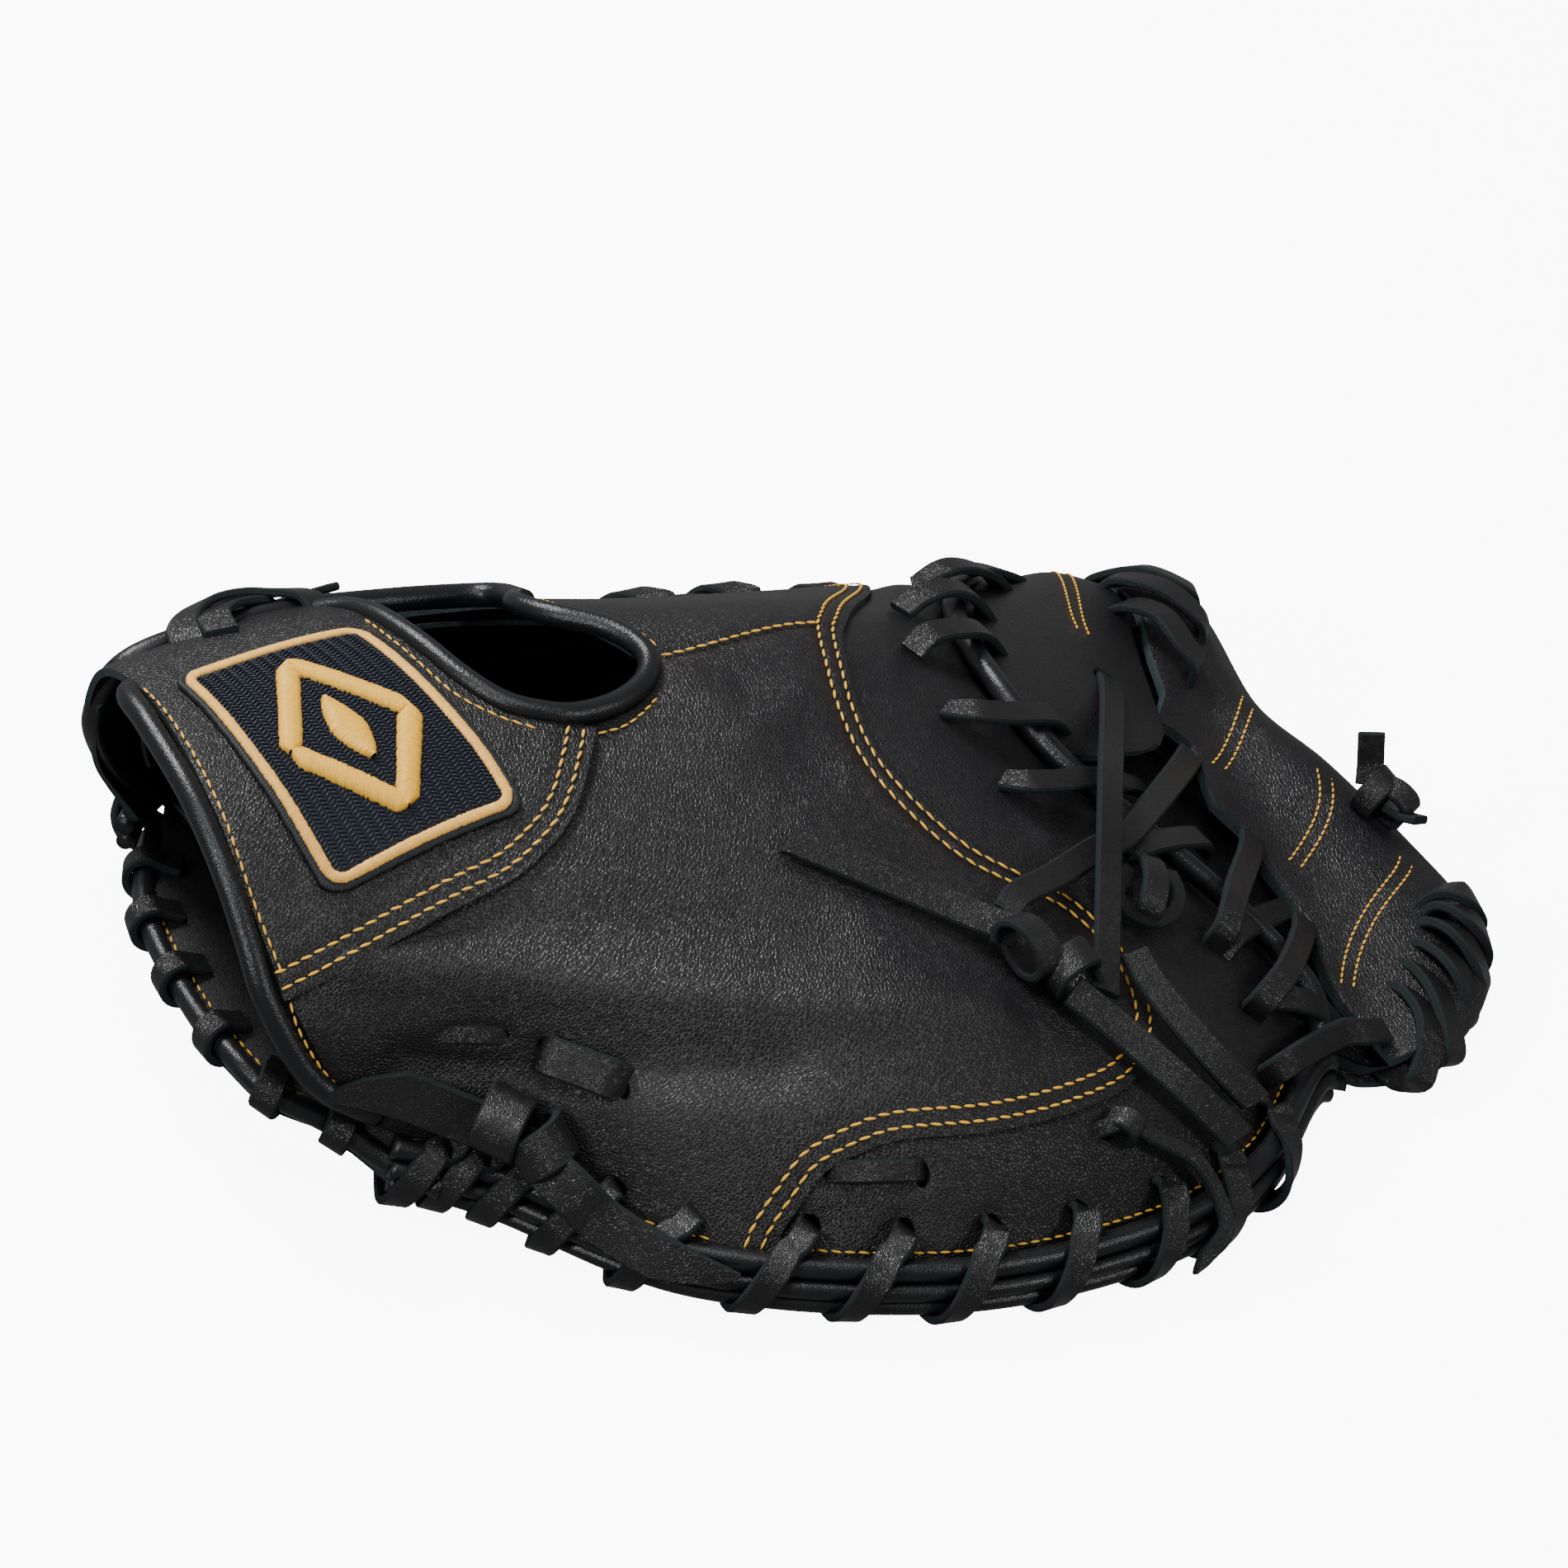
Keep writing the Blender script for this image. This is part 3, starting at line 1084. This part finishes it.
def build_patch():
    outline = rounded_box(0.0, 4.0, 1.0)
    base = leather_patch("patch_base_cloth", patch_uv(outline[:, 0], outline[:, 1]), PATCH_TOP, 1.5,
                         materials=[PATCH_THREAD, DARK_THREAD], edge_drop=0.2)
    settle(base, "patch_cloth", "patch_base")
    build_patch_fill()
    edge = satin("patch_edge", rounded_box(0.5, 4.0), 1.7, 0.5, 0.75, DARK_THREAD, -0.5, 0.3, True)
    settle(edge, "patch_cloth")
    border = satin("patch_border_satin", rounded_box(2.2, 3.4), 2.4, 0.8, 0.5, PALE_GOLD, 0.0, 0.1, True)
    settle(border, "gold_thread", "patch_border")
    # a plain diamond of four satin bars round a smaller one
    centre = np.array((PATCH_WIDE / 2, PATCH_TALL / 2))
    corners = np.array(((14.0, 0), (0, 20.0), (-14.0, 0), (0, -20.0), (14.0, 0)))
    for k in range(4):
        ends = centre + corners[k:k + 2] * 1.03
        bar = satin(f"patch_diamond_{k}", ends, 5.0, 1.8, 0.5, GOLD, 0.0, 0.25, False, 2.2)
        settle(bar, "gold_thread", *(("patch_emblem",) if k == 0 else ()))
    ends = centre + corners[3:0:-2] * 0.42
    settle(satin("patch_diamond_middle", ends, 8.0, 1.8, 0.5, GOLD, 0.0, 0.0, False, 7.5), "gold_thread")


# ---- web ----
def puff(u, v):
    """The finger-side wall is full between its edges and turns down towards the gap."""
    return 3.5 * bump(u, 6.55, 0.25) - 7.0 * np.clip((u - 6.82) / 0.2, 0, 1) ** 2


def bump(x, at, width):
    return np.exp(-(((x - at) / width) ** 2))


def crown_swell(u, v):
    """The crown's first rise, which the whips' holes lie beside."""
    return 2.0 * bump(u, 7.6, 0.35)


def crown_shape(u, v):
    return crown_swell(u, v) + 2.4 * bump(u, 8.45, 0.4)


WALL_OUTLINE = [(6.13, 4.3), (6.1, 4.8), (6.1, 5.2), (6.12, 5.6), (6.2, 6.13), (6.12, 6.7), (6.02, 7.3),
                (5.98, 8.0), (6.7, 8.0), (6.95, 8.0), (6.97, 7.2), (7.02, 6.56), (7.0, 6.0), (6.94, 5.4),
                (6.87, 4.95), (6.75, 4.6), (6.58, 4.36), (6.4, 4.22), (6.22, 4.2)]
CROWN_OUTLINE = [(6.95, 8.0), (6.98, 7.0), (7.0, 6.2), (7.0, 5.6), (6.86, 5.1), (6.96, 5.0), (7.03, 4.8),
                 (6.99, 4.4), (6.93, 3.95), (7.02, 3.6), (7.0, 3.1), (7.05, 2.58), (7.06, 2.0),
                 (6.92, 1.46), (6.9, 1.1), (6.98, 0.8), (7.08, 0.5), (7.15, 0.25), (7.25, 0.0),
                 (7.7, 0.0), (8.3, 0.0), (9.0, 0.0)]
CROWN_OUTLINE += [(9.0, v) for v in np.arange(0.4, 8.01, 0.4)] + [(8.4, 8.0), (7.8, 8.0), (7.3, 8.0)]
# double rows on the web: the wall's, then the crown's
WEB_SEAMS = ([(6.62, 7.2), (6.6, 6.8), (6.6, 6.29), (6.6, 5.9)], [(7.95, 5.0), (7.45, 4.74), (7.1, 4.42)],
             [(7.9, 3.9), (7.58, 3.52), (7.2, 3.12)], [(7.9, 2.82), (7.48, 2.12), (7.05, 1.3)])


def build_web():
    face = leather_patch("web_inner_face", grid_outline(6.0, 7.6, 0.05, 6.9), -7.0, 1.8, spacing=2.2)
    settle(face, "shell_leather", "web_face")
    wall = leather_patch("web_side_wall", WALL_OUTLINE[::-1], 1.0, 1.8, holes=[slit(6.62, 5.3, 4.5, 7.5)],
                         shape=puff)
    settle(wall, "shell_leather", "web_wall")
    crown = leather_patch("web_crown", CROWN_OUTLINE[::-1], 1.0, 2.6, shape=crown_shape)
    settle(crown, "shell_leather", "web_crown_band")
    # the crown's end is closed underneath
    u = np.linspace(6.2, 9.0, 40)
    top = back(u, 0 * u) + (0, 1.2, -1.5)
    flap = np.array([top * (1, 1, 1 - s) + (0, 4.0 * s, 1.0 * s) for s in np.linspace(0, 1, 8)])
    thick_grid("crown_end_flap", flap, (0, 1.8, 0), SUEDE, "shell_leather")
    line, normals = uvl_line([(9.02, v, 0.5) for v in np.arange(0.05, 7.96, 0.25)])
    line[:, 2] = np.maximum(line[:, 2], 1.4)
    roll("crown_roll", line, 2.1, "web_crown_cord", normals=normals)
    rows = []
    for middle in WEB_SEAMS:
        shape = puff if middle is WEB_SEAMS[0] else crown_swell
        for side in (-1.6, 1.6):
            u, v = offset_uv(middle, side).T
            line = on_back(u, v, 1.0 + shape(u, v))
            rows.append(stitch_row(line, normals_of(back, u, v), pitch=2.1, slant=0.1))
    sew("web_stitches", rows, 1.7, 0.3)


# laces as (u, v, height over the back in mm)
LADDER = (
    [(6.08, 6.3, -1), (6.12, 6.28, 3), (6.22, 6.4, 5), (6.34, 6.6, 4), (6.42, 6.85, 0)],
    [(5.86, 5.98, -1), (5.97, 5.93, 4), (6.1, 6.01, 6.5), (6.25, 6.2, 5.5), (6.36, 6.45, 0)],
    [(5.27, 5.44, -1), (5.64, 5.52, 3), (5.92, 5.59, 6), (6.1, 5.64, 5.5), (6.26, 5.73, 0)],
    [(4.96, 4.81, -1), (5.12, 4.88, 3), (5.67, 5.09, 5), (6.02, 5.22, 5.5), (6.22, 5.34, 0)],
    [(5.09, 4.4, -1), (5.24, 4.32, 3), (5.74, 4.35, 4.5), (6.12, 4.45, 5), (6.32, 4.57, 0)],
    [(5.31, 3.88, -1), (5.41, 3.79, 2.5), (5.75, 3.79, 3.5), (6.04, 3.81, 5), (6.37, 3.94, 2),
     (6.6, 4.1, -2)],
)
WALL_WHIPS = (
    [(6.8, 6.62, 0), (6.88, 6.5, 5), (7.0, 6.33, 8), (7.1, 6.0, 8), (7.2, 5.77, 6), (7.3, 5.62, -1)],
    [(6.8, 7.0, 0), (6.9, 6.95, 4), (7.15, 6.7, 6.5), (7.42, 6.3, 6.5), (7.62, 5.9, 4), (7.7, 5.75, -1)],
    [(6.85, 7.4, 0), (6.98, 7.35, 3.5), (7.3, 7.1, 5.5), (7.65, 6.6, 5.5), (7.85, 6.2, 4), (7.95, 6.0, -1)],
    [(6.95, 7.8, 0), (7.1, 7.7, 3), (7.5, 7.45, 4), (7.85, 6.95, 4), (8.05, 6.55, 3), (8.12, 6.4, -1)],
)
# out of the crown's top, over its outer edge and in again underneath, as points in mm
THUMB_WHIPS = [
    [(299, -53, 10), (303, -55, 19), (307, -60, 22), (313, -60, 14), (311, -58, 6), (303, -54, 3)],
    [(298, -57, 8), (302, -59, 18), (305, -66, 20), (310, -69, 12), (308, -68, 5), (300, -62, 3)],
    [(294, -60, 7), (298, -62, 16.5), (301, -71, 18), (304, -78, 9), (302, -77, 4), (294, -70, 3)],
    [(289, -64, 6), (293, -67, 15), (295, -78, 16), (296, -85, 8), (294, -85, 3.5), (288, -78, 3)],
    [(283, -67, 5), (287, -71, 13.5), (287, -83, 14), (285, -95, 7), (283, -94, 3), (279, -86, 3)],
    [(277, -72, 4), (281, -77, 12.5), (280, -90, 12.5), (274, -99, 6), (272, -98, 3), (269, -90, 3)],
]
WEB_LACES = {
    "long": [(6.64, 5.42, -4), (6.6, 5.16, 4.6), (5.8, 3.55, 9), (4.46, 1.95, 4.5)],
    "diagonal": [(6.98, 4.66, 0), (6.67, 4.09, 5), (6.2, 3.56, 5), (5.8, 3.35, 4), (5.36, 3.19, 4),
                 (4.76, 2.92, 5), (4.39, 2.81, 5), (4.21, 2.69, 4)],
    "short": [(5.79, 3.27, 1), (5.99, 3.32, 3), (6.27, 3.37, 3.5), (6.52, 3.42, 3), (6.7, 3.52, -3)],
    "loop band": [(5.8, 3.2, 2), (5.74, 3.1, 5), (5.56, 2.87, 6.5), (5.39, 2.66, 5), (5.35, 2.6, 1)],
    "loop": [(5.9, 3.06, 3), (5.8, 2.86, 2.5), (5.59, 2.64, 2), (5.37, 2.56, 2), (5.24, 2.66, 2.5),
             (5.3, 2.86, 3), (5.57, 3.07, 3)],
    "cross 1": [(7.06, 3.55, 0), (6.74, 3.2, 5), (6.17, 2.73, 6), (5.86, 2.4, 3.5), (5.8, 2.3, -3)],
    "cross 1 back": [(6.95, 2.55, 0), (6.42, 2.45, 1.5), (5.97, 2.35, 1.5), (5.82, 2.23, -3)],
    "cross 2": [(7.06, 2.3, 0), (6.54, 1.94, 5), (5.87, 1.67, 6), (5.62, 1.5, 3), (5.6, 1.42, -3)],
    "cross 2 back": [(5.8, 1.5, -2), (5.92, 1.3, 1.5), (6.14, 1.0, 2), (6.65, 0.6, 0)],
    "bottom": [(5.36, 0.56, -3), (5.4, 0.72, 3), (5.66, 0.66, 5), (6.2, 0.42, 6), (6.75, 0.35, 5),
               (7.15, 0.4, 4)],
}
TAILS = {
    "web_tail_upper": ([(4.12, 2.5, 5.5), (3.79, 2.78, 3.6), (3.31, 3.04, 3.2), (2.94, 3.29, 3.2)], 7.6),
    "web_tail_lower": ([(4.2, 2.0, 5.5), (4.34, 1.69, 5), (4.52, 1.12, 4.5), (4.76, 0.36, 4.2)], 7.6),
    "web_tail_stub": ([(4.86, 2.2, 6), (4.81, 1.85, 5.5), (4.84, 1.25, 5), (5.02, 0.6, 4)], 7.2),
}


def settled_laces(name, lists, *nodes, width=LACE_WIDTH):
    laces(name, [uvl_part(controls, width) for controls in lists], *nodes)


def hanging_end(node, line, normals, width, thick, taper):
    """A lace's free end, declared as a cord with a bare end."""
    obj = lace(node + "_end", line, normals, width, thick, taper)
    settle(obj, "rawhide_lace", node)


def ring_part(centre, axis, radius, squash, width, sweep, up, shift):
    """A turn of lace round an axis, its face outward. Sweep is in degrees, shift is mm a turn."""
    axis = unit(np.asarray(axis, float))
    a = unit(np.cross(axis, up))
    b = np.cross(axis, a)
    t = np.radians(np.linspace(0, sweep, 40))[:, None]
    radial = a * np.cos(t) + b * np.sin(t) * squash
    line = np.asarray(centre, float) + radial * radius + axis * shift * (t / (2 * np.pi))
    return lace_mesh(line, unit(radial), width)


def build_web_laces():
    settled_laces("crotch_ladder", LADDER, "crotch_lace")
    settled_laces("wall_whips", WALL_WHIPS, "web_lace_finger_end", width=7.4)
    laces("crown_whips", [xyz_part(c, 7.6, 2.4) for c in THUMB_WHIPS], "web_lace_thumb_end")
    settled_laces("long_lace", [WEB_LACES["long"]], "web_post_lace")
    settled_laces("diagonal_lace", [WEB_LACES["diagonal"]], "web_diagonal_lace", width=6.8)
    crossing = ("short", "loop band", "cross 1", "cross 1 back", "cross 2", "cross 2 back", "bottom")
    settled_laces("crossing_laces", [WEB_LACES[k] for k in crossing], "web_cross_lace")
    settled_laces("small_loop", [WEB_LACES["loop"]], width=4.0)
    for node, (controls, width) in TAILS.items():
        line, normals = uvl_line(controls)
        # it lies turned a little towards the thumb side
        normals = unit(normals + np.array((-0.3, -0.45, 0.1)))
        hanging_end(node, line, normals, width, LACE_THICK, 3.0)


# ---- knots ----
def uvl_point(u, v, lift):
    return on_back(np.array(u, float), np.array(v, float), float(lift))


def build_knots():
    c = uvl_point(4.2, 2.25, 6.0)
    n = normals_of(back, np.array(4.2), np.array(2.25))
    toward = unit(uvl_point(3.8, 2.7, 0) - uvl_point(4.4, 1.8, 0))
    side = np.cross(n, toward)
    laces("web_knot_loops",
          [ring_part(c + toward * 5.0 + n, toward * 0.5 + side * 0.85, 7.2, 0.72, 7.6, 400, n, 3),
           ring_part(c - toward * 6.5, toward * 0.85 - side * 0.5, 6.2, 0.85, 7.6, 400, n, 3)],
          "web_knot")
    c = uvl_point(7.95, 3.45, 6.5)
    n = unit(np.array((0.45, -0.3, 0.85)))
    across = unit(np.cross(n, (0.3, 0.9, 0.1)))
    around = across * 0.5 + n * 0.2 + np.array((0, 0.7, 0))
    laces("crown_knot_loops",
          [ring_part(c - across * 1.5, around, 6.0, 0.85, 6.0, 380, n, 3),
           ring_part(c + np.array((2, -3, -1)), np.array((0.8, 0.3, 0.3)), 4.6, 0.9, 6.0, 380, n, 3)],
          "crown_knot")
    standing = [c + way for way in ((-1, 2, 2), (0, 4, 6), (0, 5, 10), (0, 6, 14))]
    lying = [c + way for way in ((1, -3, -1), (4, -7, -2), (6, -11, -1))]
    laces("crown_knot_tails",
          [free_lace(standing, (-0.48, -0.66, 0.57), 6.4), free_lace(lying, (0.3, 0.2, 0.9), 6.5)],
          "crown_tail")


# ---- thumb laces ----
SLOT_LACES = (
    ("near", 4.6,
     [(0.64, 1.58, -4), (0.7, 1.57, -1.8), (0.86, 1.55, -1.0), (1.0, 1.53, -1.8), (1.06, 1.52, -4)]),
    ("middle", 9.0,
     [(1.19, 1.38, -3), (1.24, 1.35, 0.6), (1.4, 1.27, 1.6), (1.54, 1.2, 0.6), (1.6, 1.16, -3)]),
    ("far", 5.2,
     [(2.46, 0.66, -5), (2.53, 0.67, -0.9), (2.68, 0.69, 0.2), (2.83, 0.7, -0.9), (2.9, 0.71, -5)]),
)
TIE = [(0.96, 0.6, 5.5), (0.72, 0.72, 5), (0.47, 0.9, 4), (0.2, 1.12, 3), (0.02, 1.22, 1.6)]
# the hanging lace comes out of the tip panel, and its end is given in mm
HANGING_START = ((3.93, 0.9, -3), (3.97, 0.92, 1), (4.06, 0.92, 2.6), (4.14, 0.8, 2.4), (4.26, 0.62, 2.4),
                 (4.36, 0.42, 3.4))
HANGING_END = ((196, -129, 15), (196, -136, 9), (190, -138, 4), (186, -139, 2.6))
STRAP_LOOPS = (
    [(0.45, 5.75, 0), (0.5, 5.95, 5), (0.72, 6.15, 8), (0.98, 6.2, 7), (1.15, 5.98, 4.5), (1.2, 5.8, 0)],
    [(0.6, 5.62, 2.5), (0.64, 5.85, 5), (0.8, 6.05, 5.5), (1.0, 6.2, 4), (1.05, 6.35, 0)],
    [(1.05, 6.1, 3), (1.28, 6.34, 5), (1.45, 6.42, 6)],
)


def build_tie():
    """The wide lace tied over the thumb rim, with one tapered end on each side of its knot."""
    line, normals = uvl_line(TIE)
    settle(lace("tie_end_near", line, normals, 11.5, 2.2, 16.0), "rawhide_lace", "thumb_tie_lace")
    c = uvl_point(1.0, 0.72, 6)
    n = normals_of(back, np.array(1.05), np.array(0.55))
    run = unit(uvl_point(1.5, 0.2, 6) - c)
    side = np.cross(n, run)
    laces("tie_knot_loops",
          [ring_part(c, run * 0.95 + side * 0.25, 6.4, 1.35, 10.5, 400, n, 2),
           ring_part(c + run * 10 - n * 0.5 + side * 2, run * 0.9 - side * 0.4, 6.0, 1.3, 10.0, 380, n, 2)],
          "thumb_tie_knot")
    controls = [c + run * 12 + n * 3, c + run * 22 + n * 5]
    controls += [uvl_point(1.62, -0.02, 8), uvl_point(1.9, -0.2, 8), uvl_point(2.12, -0.36, 6)]
    line = smooth_line(controls, 1.0)
    facing = np.tile(n + (0, -0.4, 0.2), (len(line), 1))
    hanging_end("thumb_tie_tail", line, facing, 11.0, 2.2, 18.0)


def build_thumb_laces():
    for name, width, controls in SLOT_LACES:
        settled_laces(f"slot_lace_{name}", [controls], f"thumb_slot_lace_{name}", width=width)
    build_tie()
    hanging = [uvl_point(*q) for q in HANGING_START] + [np.array(q) for q in HANGING_END]
    loop = uvl_part([(4.03, 1.0, 0), (4.05, 0.95, 3.8), (4.08, 0.84, 4.2), (4.1, 0.76, 0)], 5.6)
    laces("hanging_lace", [xyz_part(hanging, 3.8, 2.4, (0.2, -0.7, 0.7), 4.0), loop])
    settled_laces("strap_end_loops", STRAP_LOOPS, "strap_loop", width=8.0)


build_bindings()
build_edge_stitches()
build_rim_laces()
build_inside()
build_heel_lining()
build_patch()
build_web()
build_web_laces()
build_knots()
build_thumb_laces()


# ---- floor, light and camera ----
# each lamp's place and size in metres, and its watts
LAMPS = (("key", (-0.35, 0.9, 1.3), 0.45, 31), ("side", (-1.5, -0.5, 1.0), 0.35, 15),
         ("front", (0.8, -1.5, 1.0), 0.35, 10), ("top", (-0.4, -0.3, 1.6), 0.6, 9))
FLOOR_HALF = 4


def build_stage():
    floor_z = cad_bounds[0][2] - 0.0005
    mesh = bpy.data.meshes.new("floor")
    corners = [(x * FLOOR_HALF, y * FLOOR_HALF, floor_z) for x, y in ((-1, -1), (1, -1), (1, 1), (-1, 1))]
    mesh.from_pydata(corners, [], [(0, 1, 2, 3)])
    floor = bpy.data.objects.new("floor", mesh)
    material, _, shader = new_material("pale floor", (0.9, 0.9, 0.9), 0.8, 0.2)
    shader.inputs["Emission Color"].default_value = (1, 1, 1, 1)
    shader.inputs["Emission Strength"].default_value = 9.0
    mesh.materials.append(material)
    bpy.context.scene.collection.objects.link(floor)
    # the floor stays out of the leather's reflections, so that black stays black
    floor.visible_glossy = False
    floor.visible_diffuse = False
    for name, place, size, power in LAMPS:
        lamp = bpy.data.lights.new(name, "AREA")
        lamp.size = size
        lamp.energy = power
        obj = bpy.data.objects.new(name, lamp)
        obj.location = place
        obj.rotation_euler = (Vector((0, 0, 0.03)) - Vector(place)).to_track_quat("-Z", "Y").to_euler()
        bpy.context.scene.collection.objects.link(obj)
    world = bpy.data.worlds.new("studio")
    world.use_nodes = True
    sky = world.node_tree.nodes["Background"]
    sky.inputs["Color"].default_value = (1, 1, 1, 1)
    sky.inputs["Strength"].default_value = 0.24
    bpy.context.scene.world = world


VIEW_RIGHT, VIEW_UP = (0.855, -0.5, 0.140), (0.193, 0.557, 0.808)
VIEW_CENTRE = (137.4, 69.0)      # mm along those two from the row frame's origin
VIEW_WIDTH = 0.3519              # metres across the picture at the mitt
VIEW_DISTANCE = 2.5
SENSOR = 36


def build_camera():
    right = np.array(VIEW_RIGHT)
    up = np.array(VIEW_UP)
    back_way = np.cross(right, up)
    up = np.cross(back_way, right)
    right, up, back_way = unit(right), unit(up), unit(back_way)
    centre = VIEW_CENTRE[0] * right + VIEW_CENTRE[1] * up + SHIFT
    camera = bpy.data.cameras.new("camera")
    camera.sensor_width = SENSOR
    camera.lens = SENSOR * VIEW_DISTANCE / VIEW_WIDTH
    camera.clip_end = 20
    obj = bpy.data.objects.new("camera", camera)
    m = Matrix.Identity(4)
    for k, axis in enumerate((right, up, back_way)):
        m[0][k], m[1][k], m[2][k] = axis
    m[0][3], m[1][3], m[2][3] = centre / 1000 + back_way * VIEW_DISTANCE
    obj.matrix_world = m
    bpy.context.scene.collection.objects.link(obj)
    bpy.context.scene.camera = obj


build_stage()
build_camera()
